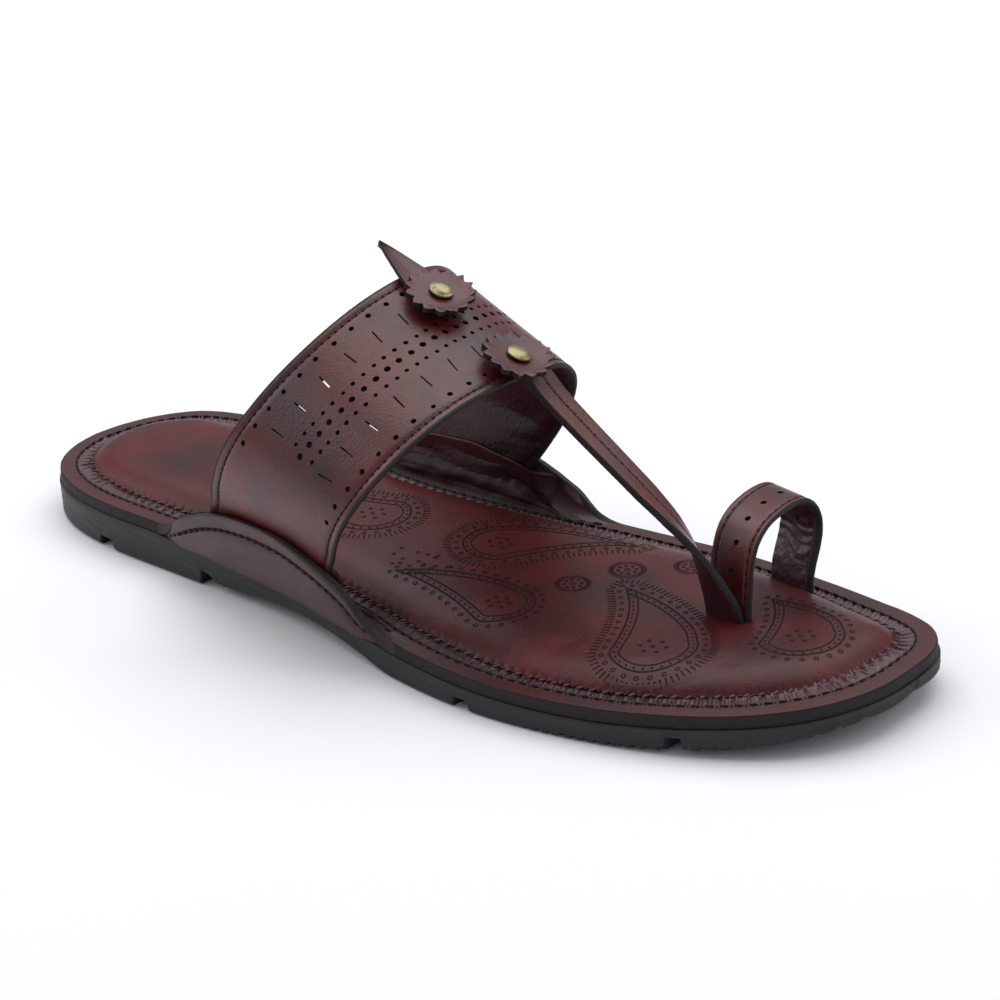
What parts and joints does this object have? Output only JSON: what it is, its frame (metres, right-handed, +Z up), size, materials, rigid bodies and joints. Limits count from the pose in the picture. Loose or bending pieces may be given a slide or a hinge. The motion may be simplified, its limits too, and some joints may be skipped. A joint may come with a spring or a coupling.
{
  "type": "kolhapuri sandal",
  "caption": "Open leather slip-on sandal with a wide perforated instep band, a centre strap to a toe loop, padded footbed and flat rubber sole with a low heel.",
  "frame": {"origin": "middle of the underside of the bounding box, on the floor under the waist of the sole", "axes": "+X from the heel to the toe, +Y to the inner (big-toe) side, +Z up"},
  "size_m": [0.2862, 0.097, 0.094],
  "materials": {
    "rubber": "matte moulded black rubber with faint lines round the side",
    "rim_leather": "burnished brown-maroon leather with a dark painted raw edge",
    "footbed_leather": "semi-gloss maroon leather over soft padding, printed with dark folk motifs",
    "strap_leather": "semi-gloss maroon grain leather with dark raw edges",
    "rivet_brass": "antique brass, softly polished"
  },
  "bodies": {
    "root": {"outsole": "rubber", "midsole": "rim_leather", "footbed": "footbed_leather", "ear_outer_side": "strap_leather", "ear_inner_side": "strap_leather", "straps": "strap_leather", "leaf": "strap_leather", "rosette_rear": "strap_leather", "rosette_front": "strap_leather", "rivet_rear": "rivet_brass", "rivet_front": "rivet_brass"}
  },
  "joints": []
}
